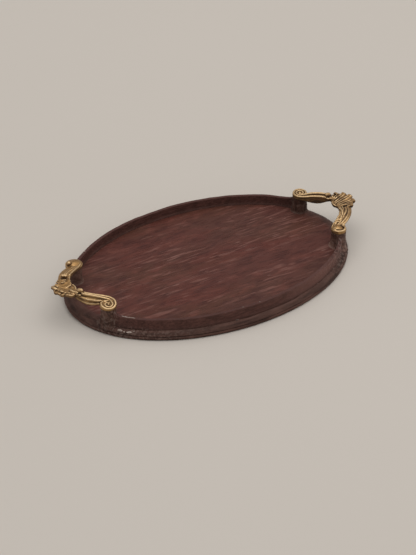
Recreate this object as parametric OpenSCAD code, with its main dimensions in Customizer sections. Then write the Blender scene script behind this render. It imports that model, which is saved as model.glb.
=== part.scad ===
// Miniature oval serving tray: a wooden board with a moulded edge, two low
// gallery strips, four turned posts and a pair of cast brass rocaille handles.
// Millimetres, +Z up. The origin is the centre of the board's underside;
// X runs along the tray and Y across it.

/* [Board] */
// Length of the oval board over its moulded edge
board_length = 68; // [64:0.5:74]
// Width of the oval board over its moulded edge
board_width = 45.8; // [43:0.2:52]
// Thickness of the board
board_thickness = 2.2; // [2:0.1:3]
// Breadth of the rounded edge, measured at the ends of the oval
crown_breadth = 2.6; // [2.2:0.1:3.2]
// Height of the small bead under the rounded edge
bead_height = 0.9; // [0.7:0.05:1]
// Depth of the quirk between the bead and the rounded edge
quirk_depth = 0.15; // [0.1:0.05:0.3]

/* [Gallery] */
// Height of the gallery strips above the board
gallery_height = 2.25; // [1.5:0.05:3]
// Thickness of the gallery strips
gallery_thickness = 0.75; // [0.5:0.05:1]
// Setback of the strips from the edge of the board
gallery_inset = 1.5; // [1.2:0.1:1.8]
// Depth of the groove that holds the foot of each strip
groove_depth = 0.6; // [0.3:0.1:0.8]

/* [Posts] */
// Distance between the post centres along the tray
post_pitch_x = 57.9; // [55:0.1:58.5]
// Distance between the post centres across the tray
post_pitch_y = 16.6; // [15:0.1:17.5]
// Diameter of the posts
post_diameter = 3.4; // [3:0.1:3.8]
// Height of the posts above the board
post_height = 3.8; // [3.2:0.05:4.5]
// Depth of the seat sunk into the board under each post
seat_depth = 0.6; // [0.4:0.1:0.8]

/* [Handles] */
// Diameter of the pegs cast on the handles
peg_diameter = 1.2; // [1:0.1:1.4]
// Depth that the pegs enter the board
peg_depth = 1.4; // [1:0.1:1.5]
// Clearance all round each peg
peg_clearance = 0.03; // [0.02:0.01:0.05]
// Diameter of the end scrolls
scroll_diameter = 3.4; // [3.2:0.1:3.8]
// Thickness of the end scrolls
scroll_thickness = 1.05; // [0.9:0.05:1.4]
// Height of the raised spiral and of the ridges on the arms
relief = 0.2; // [0.1:0.05:0.3]
// Breadth of the arms where they leave the scrolls
arm_breadth = 1.6; // [1.4:0.1:1.8]
// Depth of the leaf under the slimmer arm, below the scroll
leaf_drop = 0.85; // [0.4:0.05:1]
// Radius of the rounded tips of the shell's lobes
lobe_radius = 0.7; // [0.6:0.05:0.8]

/* [Hidden] */
$fn = 96;

half_length = board_length / 2;
width_ratio = board_width / board_length;
quirk_height = 0.15;
crown_foot = bead_height + quirk_height;
crown_rise = board_thickness - crown_foot;
crown_run = crown_breadth - quirk_depth;
crown_radius = (crown_run * crown_run + crown_rise * crown_rise) / (2 * crown_rise);
post_x = post_pitch_x / 2;
post_y = post_pitch_y / 2;
seat_z = board_thickness - seat_depth;
post_top = board_thickness + post_height;
peg_floor = board_thickness - peg_depth;
post_sides = [[-1, -1], [1, -1], [-1, 1], [1, 1]];
overlap = 0.01;
oval_steps = 120;
bead_steps = 6;
crown_steps = 7;
curve_steps = 20;

// Handle, measured from the middle of the line through its two scrolls:
// X points away from the tray, Z is counted from the tops of the posts.
// The casting isn't symmetrical: one arm is slim with a deep leaf under it
// and the other is broad and shallow. Both paths run from scroll to shell.
slim_path = [[-0.9, post_y - 0.7], [-0.1, post_y - 2.3], [3.2, 5.4], [5, 1.8]];
slim_flare = 0.15;
broad_path = [[-0.7, post_y - 0.5], [0.4, post_y - 2], [4.4, 5.9], [5.2, 1.4]];
broad_flare = 0.5;
broad_leaf = 0;
leaf_bias = 1.5;
arm_top_low = scroll_thickness - 0.3;
arm_top_high = 1.85;
arm_foot_high = 0.9;
ridge_breadth = 0.45;
plate_centre = [5.95, 0];
plate_radius = 2.3;
plate_foot = 0.9;
plate_height = 0.5;
fan_centre = [4.65, 0.2];
lobe_level = 1.4;
lobe_tilt = 6;
lobe_root_radius = 0.45;
lobe_reach = [3.75, 4.4, 4.5, 4.1, 3.3];
lobe_bearing = [-50, -19, 9, 33, 60];
bud_radius = 0.7;
bud_level = 1.8;
slim_bud = [4.1, 3.3];
broad_bud = [4.6, 3.2];
spiral_turns = 1.25;
spiral_breadth = 0.3;
spiral_eye = 0.35;

function bezier(p, t) =
    pow(1 - t, 3) * p[0] + 3 * t * pow(1 - t, 2) * p[1]
    + 3 * t * t * (1 - t) * p[2] + pow(t, 3) * p[3];
function bezier_slope(p, t) =
    3 * pow(1 - t, 2) * (p[1] - p[0]) + 6 * t * (1 - t) * (p[2] - p[1])
    + 3 * t * t * (p[3] - p[2]);
function beside(p, t, d) =
    let (s = bezier_slope(p, t)) bezier(p, t) + d * [-s[1], s[0]] / norm(s);
function band(p, offset_a, offset_b, flare) = concat(
    [for (i = [0:curve_steps]) let (t = i / curve_steps)
        beside(p, t, offset_a * (1 + flare * t))],
    [for (i = [curve_steps:-1:0]) let (t = i / curve_steps)
        beside(p, t, offset_b * (1 + flare * t))]);

module oval(inset) {
    polygon([for (i = [0:oval_steps - 1]) let (a = 360 * i / oval_steps)
        [(half_length - inset) * cos(a), (board_width / 2 - inset) * sin(a)]]);
}

// Half section of the board at the end of the oval, from the underside up:
// the bead, the quirk over it, then the rounded edge.
function arc_points(centre, radius, from, to, steps) =
    [for (i = [0:steps]) let (a = from + (to - from) * i / steps)
        centre + radius * [cos(a), sin(a)]];
function board_profile() =
    let (bead = bead_height / 2,
        quirk_x = half_length - 2 * quirk_depth,
        sweep = asin(crown_run / crown_radius))
    concat(
        arc_points([half_length - bead, bead], bead, -90, 90, bead_steps),
        [[quirk_x, bead_height], [quirk_x, crown_foot]],
        arc_points([half_length - crown_breadth, board_thickness - crown_radius],
            crown_radius, 90 - sweep, 90, crown_steps));

// The solid board: one oval ring of points for each point of the profile.
module board_blank() {
    profile = board_profile();
    rings = len(profile);
    polyhedron(
        points = [for (p = profile) for (i = [0:oval_steps - 1])
            let (a = 360 * i / oval_steps) [p[0] * cos(a), p[0] * width_ratio * sin(a), p[1]]],
        faces = concat(
            [[for (i = [0:oval_steps - 1]) i]],
            [for (k = [0:rings - 2]) for (i = [0:oval_steps - 1])
                let (n = (i + 1) % oval_steps)
                [k * oval_steps + i, (k + 1) * oval_steps + i,
                    (k + 1) * oval_steps + n, k * oval_steps + n]],
            [[for (i = [oval_steps - 1:-1:0]) (rings - 1) * oval_steps + i]]));
}

// Plan of one gallery strip, coped at both ends to the round posts.
module gallery_plan() {
    difference() {
        oval(gallery_inset);
        oval(gallery_inset + gallery_thickness);
        translate([-board_length, -board_width])
            square([2 * board_length, board_width + post_y]);
        for (side = [-1, 1])
            translate([side * post_x, post_y]) circle(d = post_diameter);
        for (side = [-1, 1])
            translate([side * (post_x + half_length), 0])
                square([board_length, board_width * 2], center = true);
    }
}

module tray_board() {
    color("#5a3b35")
    difference() {
        board_blank();
        for (turn = [0, 180]) rotate([0, 0, turn])
            translate([0, 0, board_thickness - groove_depth])
                linear_extrude(gallery_height) gallery_plan();
        for (side = post_sides) translate([side[0] * post_x, side[1] * post_y, 0]) {
            translate([0, 0, seat_z]) cylinder(d = post_diameter, h = post_height);
            translate([0, 0, peg_floor])
                cylinder(r = peg_diameter / 2 + peg_clearance, h = post_height);
        }
    }
}

module gallery(turn) {
    color("#3c2724")
    rotate([0, 0, turn]) translate([0, 0, board_thickness - groove_depth])
        linear_extrude(gallery_height + groove_depth) gallery_plan();
}

module post(side) {
    color("#3a2a24")
    translate([side[0] * post_x, side[1] * post_y, seat_z])
        difference() {
            cylinder(d = post_diameter, h = post_top - seat_z);
            translate([0, 0, -overlap])
                cylinder(r = peg_diameter / 2 + peg_clearance, h = post_height * 2);
        }
}

// One end scroll with its raised spiral and the peg below it. The spiral
// winds in from the side that the arm joins.
module scroll(hand) {
    steps = 3 * curve_steps;
    rim = scroll_diameter / 2 - spiral_breadth;
    cylinder(d = scroll_diameter, h = scroll_thickness);
    linear_extrude(scroll_thickness + relief)
        polygon([for (edge = [0, 1]) for (i = [0:steps])
            let (k = (edge == 0 ? i : steps - i) / steps,
                a = -hand * (90 + 360 * spiral_turns * (1 - k)),
                r = spiral_eye + (rim - spiral_eye) * k + edge * spiral_breadth)
            r * [cos(a), sin(a)]]);
    translate([0, 0, peg_floor - post_top])
        cylinder(d = peg_diameter, h = post_top - peg_floor + overlap);
}

// Side view of an arm along its chord: low at the scroll, deep at the leaf.
module arm_side(length, drop, lift) {
    polygon(concat(
        [for (i = [0:curve_steps]) let (t = i / curve_steps)
            [length * t, arm_top_low + lift
                + (arm_top_high - arm_top_low) * (1 - cos(180 * min(1, t * 1.15))) / 2]],
        [for (i = [curve_steps:-1:0]) let (t = i / curve_steps)
            [length * t, arm_foot_high * (drop > 0 ? pow(t, 3) : t)
                - drop * pow(sin(180 * pow(t, leaf_bias)), 2)]]));
}

// One strip of an arm, between two offsets from its centreline.
module arm_strip(path, flare, offset_a, offset_b, drop, lift) {
    chord = path[3] - path[0];
    intersection() {
        translate([0, 0, -post_height])
            linear_extrude(post_height * 2)
                polygon(band(path, offset_a, offset_b, flare));
        translate([path[0][0], path[0][1], 0])
            rotate([0, 0, atan2(chord[1], chord[0])])
                translate([0, post_height, 0]) rotate([90, 0, 0])
                    linear_extrude(2 * post_height) arm_side(norm(chord), drop, lift);
    }
}

module arm(path, flare, drop) {
    half = arm_breadth / 2;
    arm_strip(path, flare, -half, half, drop, 0);
    arm_strip(path, flare, -half, ridge_breadth - half, drop, relief);
    arm_strip(path, flare, half - ridge_breadth, half, drop, relief);
}

// One lobe of the shell: a tapered flute with a round tip.
module lobe(reach, bearing) {
    length = reach - lobe_radius;
    translate([fan_centre[0], fan_centre[1], lobe_level])
        rotate([0, 0, bearing]) rotate([0, 90 - lobe_tilt, 0]) {
            cylinder(h = length, r1 = lobe_root_radius, r2 = lobe_radius);
            translate([0, 0, length]) sphere(lobe_radius);
        }
}

module bud(centre) {
    translate([centre[0], centre[1], bud_level]) sphere(bud_radius);
}

module handle(turn) {
    color("#b08d57")
    rotate([0, 0, turn]) translate([post_x, 0, post_top]) {
        translate([0, post_y, 0]) scroll(1);
        arm(slim_path, slim_flare, leaf_drop);
        bud(slim_bud);
        translate([0, -post_y, 0]) scroll(-1);
        mirror([0, 1, 0]) {
            arm(broad_path, broad_flare, broad_leaf);
            bud(broad_bud);
        }
        translate([plate_centre[0], plate_centre[1], plate_foot])
            cylinder(r = plate_radius, h = plate_height);
        for (i = [0:len(lobe_reach) - 1]) lobe(lobe_reach[i], lobe_bearing[i]);
    }
}

tray_board();
gallery(180);  // gallery_front
gallery(0);  // gallery_back
post([-1, -1]);  // post_front_left
post([1, -1]);  // post_front_right
post([-1, 1]);  // post_back_left
post([1, 1]);  // post_back_right
handle(180);  // handle_left
handle(0);  // handle_right
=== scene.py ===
import math

import bmesh
import bpy
import numpy as np
from mathutils import Matrix, Vector


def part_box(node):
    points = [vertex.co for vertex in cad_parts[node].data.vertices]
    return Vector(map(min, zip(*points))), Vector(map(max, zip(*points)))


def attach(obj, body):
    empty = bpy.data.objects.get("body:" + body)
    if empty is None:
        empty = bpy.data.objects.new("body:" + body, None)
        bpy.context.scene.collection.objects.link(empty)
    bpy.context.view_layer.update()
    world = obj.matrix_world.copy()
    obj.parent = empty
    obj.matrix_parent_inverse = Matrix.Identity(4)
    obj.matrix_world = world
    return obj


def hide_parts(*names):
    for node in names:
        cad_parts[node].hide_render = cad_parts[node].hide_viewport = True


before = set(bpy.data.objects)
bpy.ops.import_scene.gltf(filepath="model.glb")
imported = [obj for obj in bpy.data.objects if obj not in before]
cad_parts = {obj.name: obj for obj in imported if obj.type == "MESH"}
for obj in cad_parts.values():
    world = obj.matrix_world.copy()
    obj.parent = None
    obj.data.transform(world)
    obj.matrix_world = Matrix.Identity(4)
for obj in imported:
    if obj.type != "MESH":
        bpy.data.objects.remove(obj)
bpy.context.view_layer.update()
MM = 0.001


# ---- dimensions
def box_mm(node):
    low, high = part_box(node)
    return np.array(low) / MM, np.array(high) / MM


board_high = box_mm("tray_board")[1]
HALF_X, HALF_Y, TOP = board_high[0], board_high[1], board_high[2]
post_low, post_high = box_mm("post_back_right")
POST_X, POST_Y = (post_low[0] + post_high[0]) / 2, (post_low[1] + post_high[1]) / 2
POST_R = (post_high[0] - post_low[0]) / 2
POST_TOP = post_high[2]
gallery_low, gallery_high = box_mm("gallery_back")
GALLERY_TOP, GALLERY_FOOT = gallery_high[2], gallery_low[2]
GALLERY_INSET = HALF_Y - gallery_high[1]
GALLERY_THICK = 0.75
PEG_FLOOR = box_mm("handle_right")[0][2]
PEG_R = 0.6
BORE_R = PEG_R + 0.04
# the board's rounded edge: the inset where it ends, its run and the height of its foot
ROUND_END, ROUND_RUN, ROUND_FOOT = 2.6, 2.45, 1.05
ROUND_RISE = TOP - ROUND_FOOT
ROUND_RADIUS = (ROUND_RUN ** 2 + ROUND_RISE ** 2) / (2 * ROUND_RISE)


# ---- noise and meshes
CORNERS = [(i, j, k) for i in (0, 1) for j in (0, 1) for k in (0, 1)]


def trilinear(part, at):
    """Mix of the values at(i, j, k) on a cell's corners; part is the place in the cell."""
    total = 0
    for corner in CORNERS:
        weight = 1
        for p, far in zip(part, corner):
            weight = weight * (p if far else 1 - p)
        total = total + weight * at(*corner)
    return total


class Noise:
    """Seeded value noise, the same on every run."""

    def __init__(self, seed, size=48):
        self.size = size
        self.lattice = np.random.RandomState(seed).uniform(-1, 1, (size, size, size))

    def __call__(self, x, y, z):
        x, y, z = np.broadcast_arrays(x, y, z)
        cell = [np.floor(v).astype(int) for v in (x, y, z)]
        part = [v - c for v, c in zip((x, y, z), cell)]
        part = [p * p * (3 - 2 * p) for p in part]
        n = self.size
        return trilinear(part, lambda i, j, k: self.lattice[(cell[0] + i) % n, (cell[1] + j) % n,
            (cell[2] + k) % n])


def ease(low, high, v):
    t = np.clip((v - low) / (high - low), 0, 1)
    return t * t * (3 - 2 * t)  # falls when high is under low


def new_mesh(name, verts_mm, faces):
    mesh = bpy.data.meshes.new(name)
    verts = np.asarray(verts_mm, float) * MM
    faces = np.asarray(faces)
    mesh.vertices.add(len(verts))
    mesh.vertices.foreach_set("co", verts.ravel())
    count, sides = faces.shape
    mesh.loops.add(count * sides)
    mesh.loops.foreach_set("vertex_index", faces.ravel())
    mesh.polygons.add(count)
    mesh.polygons.foreach_set("loop_start", np.arange(count) * sides)
    mesh.update(calc_edges=True)
    mesh.polygons.foreach_set("use_smooth", [True] * count)
    mesh.validate()
    return mesh


def add_object(name, data):
    thing = bpy.data.objects.new(name, data)
    bpy.context.scene.collection.objects.link(thing)
    return thing


def add_piece(name, mesh, material, slot, *nodes):
    piece = add_object(name, mesh)
    piece.data.materials.append(material)
    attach(piece, "root")
    if nodes:
        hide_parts(*nodes)
    return piece


def set_attributes(mesh, **values):
    for name, value in values.items():
        attribute = mesh.attributes.new(name, "FLOAT", "POINT")
        attribute.data.foreach_set("value", np.asarray(value, np.float32))


def direction(bearing):
    """Unit vector in a plane, from a bearing in degrees."""
    a = math.radians(bearing)
    return np.array([math.cos(a), math.sin(a)])


def circle(count):
    """Cosine and sine of evenly spaced bearings."""
    angle = np.arange(count) * 2 * math.pi / count
    return np.cos(angle), np.sin(angle)


def ring_faces(rings, count, close=True):
    """Quads between consecutive rings of count points each."""
    i = np.arange(count if close else count - 1)
    n = (i + 1) % count
    return np.concatenate([np.stack([k * count + i, k * count + n, (k + 1) * count + n, (k + 1) * count + i],
        1) for k in range(rings - 1)])


def close_mesh(mesh, caps=(), weld=False):
    """Add the faces that close a mesh and turn every face outwards; only large caps stay flat."""
    bm = bmesh.new()
    bm.from_mesh(mesh)
    bm.verts.ensure_lookup_table()
    for cap in caps:
        bm.faces.new([bm.verts[i] for i in cap])
    if weld:
        bmesh.ops.remove_doubles(bm, verts=bm.verts, dist=1e-8)
    bmesh.ops.recalc_face_normals(bm, faces=bm.faces)
    for face in bm.faces:
        face.smooth = len(face.verts) < 5
    bm.to_mesh(mesh)
    bm.free()


# ---- materials
class Nodes:
    """Short calls for building one material."""

    def __init__(self, name):
        self.material = bpy.data.materials.new(name)
        self.material.use_nodes = True
        self.tree = self.material.node_tree
        self.shader = self.tree.nodes["Principled BSDF"]
        coord = self.add("ShaderNodeTexCoord")
        scale = self.add("ShaderNodeVectorMath", operation="SCALE")
        self.link(coord.outputs["Object"], scale.inputs[0])
        scale.inputs["Scale"].default_value = 1 / MM
        self.mm = scale.outputs[0]

    def add(self, kind, inputs=None, **settings):
        node = self.tree.nodes.new(kind)
        for key, value in settings.items():
            setattr(node, key, value)
        for key, value in (inputs or {}).items():
            self.feed(node.inputs[key], value)
        return node

    def link(self, a, b):
        self.tree.links.new(a, b)

    def feed(self, socket, value):
        if isinstance(value, bpy.types.NodeSocket):
            self.link(value, socket)
        else:
            socket.default_value = value

    def noise(self, stretch, detail=4, roughness=0.6, distortion=0.0, shift=(0, 0, 0)):
        """Fractal noise; stretch is in cycles per mm, one number or three."""
        place = self.add("ShaderNodeMapping", {"Vector": self.mm, "Scale": tuple(np.ones(3) * stretch),
            "Location": shift}).outputs[0]
        return self.add("ShaderNodeTexNoise", {"Vector": place, "Scale": 1.0, "Detail": detail,
            "Roughness": roughness, "Distortion": distortion}).outputs["Fac"]

    def ramp(self, value, low, high, out_high=1.0, out_low=0.0):
        return self.add("ShaderNodeMapRange", {"Value": value, "From Min": low, "From Max": high,
            "To Min": out_low, "To Max": out_high}, interpolation_type="SMOOTHSTEP").outputs["Result"]

    def math(self, operation, a, b):
        return self.add("ShaderNodeMath", {0: a, 1: b}, operation=operation).outputs[0]

    def times(self, a, b):
        return self.math("MULTIPLY", a, b)

    def mix(self, amount, a, b):
        a, b = (v if isinstance(v, bpy.types.NodeSocket) else (*v, 1) for v in (a, b))
        return self.add("ShaderNodeMix", {0: amount, 6: a, 7: b}, data_type="RGBA").outputs[2]

    def attribute(self, name):
        return self.add("ShaderNodeAttribute", attribute_name=name).outputs["Fac"]

    def bump(self, height, strength, distance_mm, normal=None):
        node = self.add("ShaderNodeBump", {"Strength": strength, "Distance": distance_mm * MM,
            "Height": height})
        if normal is not None:
            self.link(normal, node.inputs["Normal"])
        return node.outputs[0]

    def put(self, socket, value):
        self.feed(self.shader.inputs[socket], value)


PALE_FLECK = (0.21, 0.15, 0.125)


def board_material():
    n = Nodes("stained_board")
    rim = n.attribute("rim")
    wander = n.noise((0.02, 0.1, 0.1), 3, 0.55)
    patch = n.noise((0.045, 0.09, 0.09), 4, 0.6, 0.4, (11, 3, 0))
    fibre = n.noise((0.1, 1.3, 1.3), 3, 0.55, 0.5)
    cloud = n.noise((0.16, 0.42, 0.4), 4, 0.6, 0.3, (7, 1, 0))
    glint_streak = n.noise((0.14, 1.35, 1.35), 2, 0.5, 0.5, (5, 9, 2))
    glint = n.noise((0.26, 2.3, 2.3), 2, 0.5, 0.45, (15, 3, 8))
    pores = n.noise((0.3, 3.0, 3.0), 2, 0.5, 0.3, (2, 7, 1))
    grit = n.noise((2.4, 3.2, 3.2))
    red, brown = (0.111, 0.0312, 0.0225), (0.092, 0.034, 0.0222)
    glint_pink, dark = (0.178, 0.076, 0.06), (0.044, 0.014, 0.0108)
    colour = n.mix(n.ramp(patch, 0.4, 0.6), red, brown)
    colour = n.mix(n.ramp(wander, 0.42, 0.62, 0.45), colour, (0.092, 0.036, 0.029))
    colour = n.mix(n.ramp(cloud, 0.5, 0.66, 0.68), colour, (0.062, 0.019, 0.015))
    colour = n.mix(n.ramp(cloud, 0.47, 0.31, 0.58), colour, (0.165, 0.055, 0.04))
    colour = n.mix(n.ramp(fibre, 0.52, 0.7, 0.34), colour, dark)
    # painted highlights: sparse pale pink streaks and brighter dashes along the grain stand for light caught
    # on the grain relief
    sparse = n.ramp(n.noise((0.1, 0.22, 0.2), 3, 0.6, 0, (3, 13, 0)), 0.42, 0.6)
    colour = n.mix(n.times(n.ramp(glint_streak, 0.52, 0.65, 0.88), sparse), colour, glint_pink)
    colour = n.mix(n.times(n.ramp(glint, 0.63, 0.73, 0.78), sparse), colour, (0.23, 0.11, 0.09))
    pore = n.ramp(pores, 0.6, 0.68)
    colour = n.mix(n.times(pore, 0.34), colour, dark)
    # the rounded edge's tone: random streaks, plus a painted highlight band near its top and a painted shade
    # line in the groove above the bead
    streak = n.attribute("streak")
    edge_tone = n.mix(streak, (0.044, 0.0225, 0.017), (0.116, 0.058, 0.0445))
    edge_tone = n.mix(n.ramp(grit, 0.5, 0.75, 0.14), edge_tone, (0.15, 0.088, 0.07))
    scuff = n.attribute("scuff")
    fleck = n.noise(1.5, 4, 0.6, 0.6, (1, 2, 9))
    edge_tone = n.mix(n.times(n.ramp(fleck, 0.5, 0.59), n.times(scuff, 0.75)), edge_tone, PALE_FLECK)
    chipped = n.times(n.ramp(fleck, 0.49, 0.42), n.times(scuff, 0.7))
    edge_tone = n.mix(chipped, edge_tone, (0.028, 0.016, 0.013))
    colour = n.mix(n.times(rim, 0.92), colour, edge_tone)
    n.put("Base Color", colour)
    rough = n.ramp(n.noise((0.3, 0.6, 0.6), 4, 0.6, 0, (4, 4, 4)), 0.3, 0.7, 0.62, 0.46)
    n.put("Roughness", rough)
    n.put("Specular IOR Level", 0.16)
    height = n.math("SUBTRACT", n.times(glint_streak, 0.8), n.times(pore, 0.8))
    normal = n.bump(height, 0.8, 0.08)
    normal = n.bump(n.times(fleck, n.times(scuff, rim)), 1.0, 0.35, normal)
    n.put("Normal", n.bump(grit, 0.15, 0.05, normal))
    return n.material


def dark_wood_material(name, base, worn, pale, along):
    """Dark stained wood; along is the direction of its grain (0 X, 2 Z)."""
    n = Nodes(name)
    stretch = [3.4, 3.4, 3.4]
    stretch[along] = 0.35
    fibre = n.noise(stretch, 5, 0.6, 0.3)
    grit = n.noise(1.6, 5, 0.65)
    patch = n.noise(0.35)
    colour = n.mix(n.ramp(fibre, 0.34, 0.68), tuple(0.55 * c for c in base), base)
    colour = n.mix(n.ramp(grit, 0.5, 0.78, 0.65), colour, worn)
    colour = n.mix(n.ramp(patch, 0.45, 0.65, 0.4), colour, (0.04, 0.018, 0.014))
    # tone: on the front strip, painted light paling it towards its right end; on the posts, a paler top or
    # foot
    colour = n.mix(n.times(n.attribute("tone"), 0.85), colour, pale)
    colour = n.mix(n.times(n.attribute("worn"), 0.75), colour, worn)
    # painted shade at the foot of the strips, where they meet the board
    colour = n.mix(n.attribute("foot"), colour, (0.05, 0.022, 0.016))
    scuff = n.attribute("scuff")
    fleck = n.noise((1.3, 1.3, 1.1), 4, 0.6, 0.7, (4, 2, 9))
    colour = n.mix(n.times(n.ramp(fleck, 0.51, 0.6), n.times(scuff, 0.65)), colour, PALE_FLECK)
    colour = n.mix(n.times(n.ramp(fleck, 0.5, 0.43), n.times(scuff, 0.8)), colour, (0.024, 0.013, 0.01))
    n.put("Base Color", colour)
    rough = n.ramp(grit, 0.35, 0.65, 0.66, 0.42)
    n.put("Roughness", n.math("SUBTRACT", rough, n.times(scuff, 0.12)))
    n.put("Specular IOR Level", 0.14)
    height = n.math("ADD", n.times(fibre, 0.5), n.times(grit, 0.6))
    normal = n.bump(height, 0.7, 0.12)
    n.put("Normal", n.bump(n.times(fleck, scuff), 1.0, 0.35, normal))
    return n.material


def brass_material():
    n = Nodes("cast_brass")
    recess = n.attribute("recess")
    patch = n.noise(0.9)
    grain = n.noise(6)
    colour = n.mix(n.ramp(patch, 0.35, 0.68), (0.462, 0.274, 0.117), (0.33, 0.188, 0.074))
    colour = n.mix(n.ramp(grain, 0.5, 0.7, 0.4), colour, (0.26, 0.145, 0.058))
    # painted highlight on the ridges and highest places
    colour = n.mix(n.times(n.attribute("crest"), 0.7), colour, (0.8, 0.585, 0.34))
    # patina in the hollows and painted shade in recesses, under the arms and on walls: darker, browner and
    # less metallic
    colour = n.mix(n.ramp(recess, 0.0, 1.0, 0.88), colour, (0.15, 0.075, 0.026))
    colour = n.mix(n.ramp(recess, 1.0, 1.6), colour, (0.066, 0.034, 0.016))
    n.put("Base Color", colour)
    n.put("Metallic", n.ramp(recess, 0.2, 0.85, 0.25, 1.0))
    rough = n.ramp(patch, 0.3, 0.7, 0.46, 0.34)
    n.put("Roughness", n.math("ADD", rough, n.ramp(recess, 0.0, 1.2, 0.35)))
    n.put("Normal", n.bump(grain, 0.3, 0.04))
    return n.material


def varnish_material(name, dark, pale):
    n = Nodes(name)
    grit = n.noise(1.5)
    n.put("Base Color", n.mix(n.ramp(grit, 0.35, 0.65), dark, pale))
    n.put("Roughness", n.ramp(grit, 0.3, 0.7, 0.4, 0.2))
    n.put("Normal", n.bump(grit, 0.3, 0.05))
    return n.material


# ---- board
def board_profile():
    """(inset from the end, height, rim tone) from the underside's edge up and in."""
    points = []
    bead = 0.45
    for i in range(13):
        c, s = direction(-90 + 15 * i)
        points.append((bead - bead * c, bead + bead * s, 1.0))
    points += [(0.34, 0.94, 1.0), (0.32, 0.98, 1.0), (0.27, 1.03, 1.0)]
    sweep = math.asin(ROUND_RUN / ROUND_RADIUS)
    for i in range(25):
        a = math.pi / 2 - sweep * (1 - i / 24)
        z = TOP - ROUND_RADIUS + ROUND_RADIUS * math.sin(a)
        points.append((ROUND_END - ROUND_RADIUS * math.cos(a), z, 1.0 - 0.35 * max(0, i - 14) / 10))
    return points


def board_height(x, y):
    """Height of the board's top over a place in plan."""
    inset = HALF_X * (1 - np.hypot(x / HALF_X, y / HALF_Y))
    down = np.clip(ROUND_END - inset, 0, ROUND_RUN)
    return TOP - ROUND_RADIUS + np.sqrt(ROUND_RADIUS ** 2 - down ** 2)


def scuffs(verts):
    """How rough the varnish is: worst at the front right end and round the posts."""
    x, y, _ = verts.T
    angle = np.arctan2(y / HALF_Y, x / HALF_X)
    edge = np.hypot(x / HALF_X, y / HALF_Y)
    end = np.exp(-((np.degrees(angle) + 24) / 19) ** 2) * ease(0.86, 0.92, edge)
    left = 0.6 * np.exp(-((np.degrees(angle) + 142) / 22) ** 2) * ease(0.945, 0.965, edge)
    posts = 0
    for sx in (-1, 1):
        for sy in (-1, 1):
            gap = np.hypot(x - sx * POST_X, y - sy * POST_Y) - POST_R
            posts = posts + ease(1.5, 0.0, gap)
    return np.clip(end + left + 0.6 * posts, 0, 1)


def painted_light_right_end(verts):
    """Painted light: the front strip is made paler towards its right end, where light from the right falls on
    it.
    """
    x, y, _ = verts.T
    angle = np.degrees(np.arctan2(y / HALF_Y, x / HALF_X))
    return ease(-88, -52, angle) * ease(-14, -24, angle)


def make_board(material):
    count = 720
    cos, sin = circle(count)
    noise = Noise(3)
    profile = board_profile()
    # rings over the flat floor, closer together at its edge
    steps = 26
    for i in range(1, steps + 1):
        inset = ROUND_END + (HALF_X - ROUND_END) * (i / steps) ** 1.25 * 0.999
        profile.append((inset, TOP, max(0.0, 0.65 - i * 0.5)))
    rings, rim, streak = [], [], []
    run = np.cumsum(np.hypot(HALF_X * sin, HALF_Y * cos)) * 2 * math.pi / count
    for inset, z, tone in profile:
        r = (HALF_X - inset) / HALF_X
        fade = min(1.0, max(0.0, (3.4 - inset) / 2.0))
        wave = noise(cos * 9 + 20, sin * 9 + 20, z * 0.7) * 0.05 * fade
        wave = wave + noise(cos * 30 + 7, sin * 30 + 7, z * 1.5) * 0.018 * fade
        x, y = cos * (HALF_X * r - np.abs(wave)), sin * (HALF_Y * r - np.abs(wave))
        lift = noise(cos * 12 + 31, sin * 12 + 31, inset) * 0.03 * fade * (0.3 < z < TOP)
        rings.append(np.stack([x, y, np.full(count, z) + lift - 0.03 * fade * (z > 1)], 1))
        rim.append(np.full(count, tone))
        tilt = 0.7 * noise(run * 0.22, inset * 1.6, z * 1.2)
        tilt = tilt + 0.35 * noise(run * 0.6 + 9, inset * 3 + 4, z * 2.5)
        # painted highlight band just under the top of the rounded edge, and painted shade in the groove above
        # the bead
        sheen_band = 0.3 * math.exp(-((z - TOP + 0.22) / 0.22) ** 2) if z < TOP else 0.0
        dark = -0.45 if 0.9 < z < 1.1 else 0.0
        streak.append(np.clip(0.5 + tilt + sheen_band + dark, 0, 1))
    # the last two points close the middle of the floor and of the underside
    verts = np.vstack(rings + [[[0, 0, TOP], [0, 0, 0]]])
    top_centre, last = len(rings) * count, (len(rings) - 1) * count
    mesh = new_mesh("tray_board_wood", verts, ring_faces(len(rings), count))
    caps = []
    for i in range(count):
        n = (i + 1) % count
        caps += [(last + i, last + n, top_centre), (n, i, top_centre + 1)]
    close_mesh(mesh, caps)
    set_attributes(mesh, rim=np.concatenate(rim + [[0, 1]]), streak=np.concatenate(streak + [[0.5, 0.5]]),
        scuff=scuffs(verts))
    return add_piece("board", mesh, material, "board_wood", "tray_board")


# ---- galleries
def strip_angle(inset):
    """Angle, on the oval of that inset, where the strip meets the post's side."""
    a, b = HALF_X - inset, HALF_Y - inset
    for k in range(2000):
        t = math.radians(5 + 60 * k / 2000)
        x, y = a * math.cos(t), b * math.sin(t)
        if y > POST_Y and math.hypot(x - POST_X, y - POST_Y) > POST_R - 0.12:
            return t
    return math.radians(30)


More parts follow.
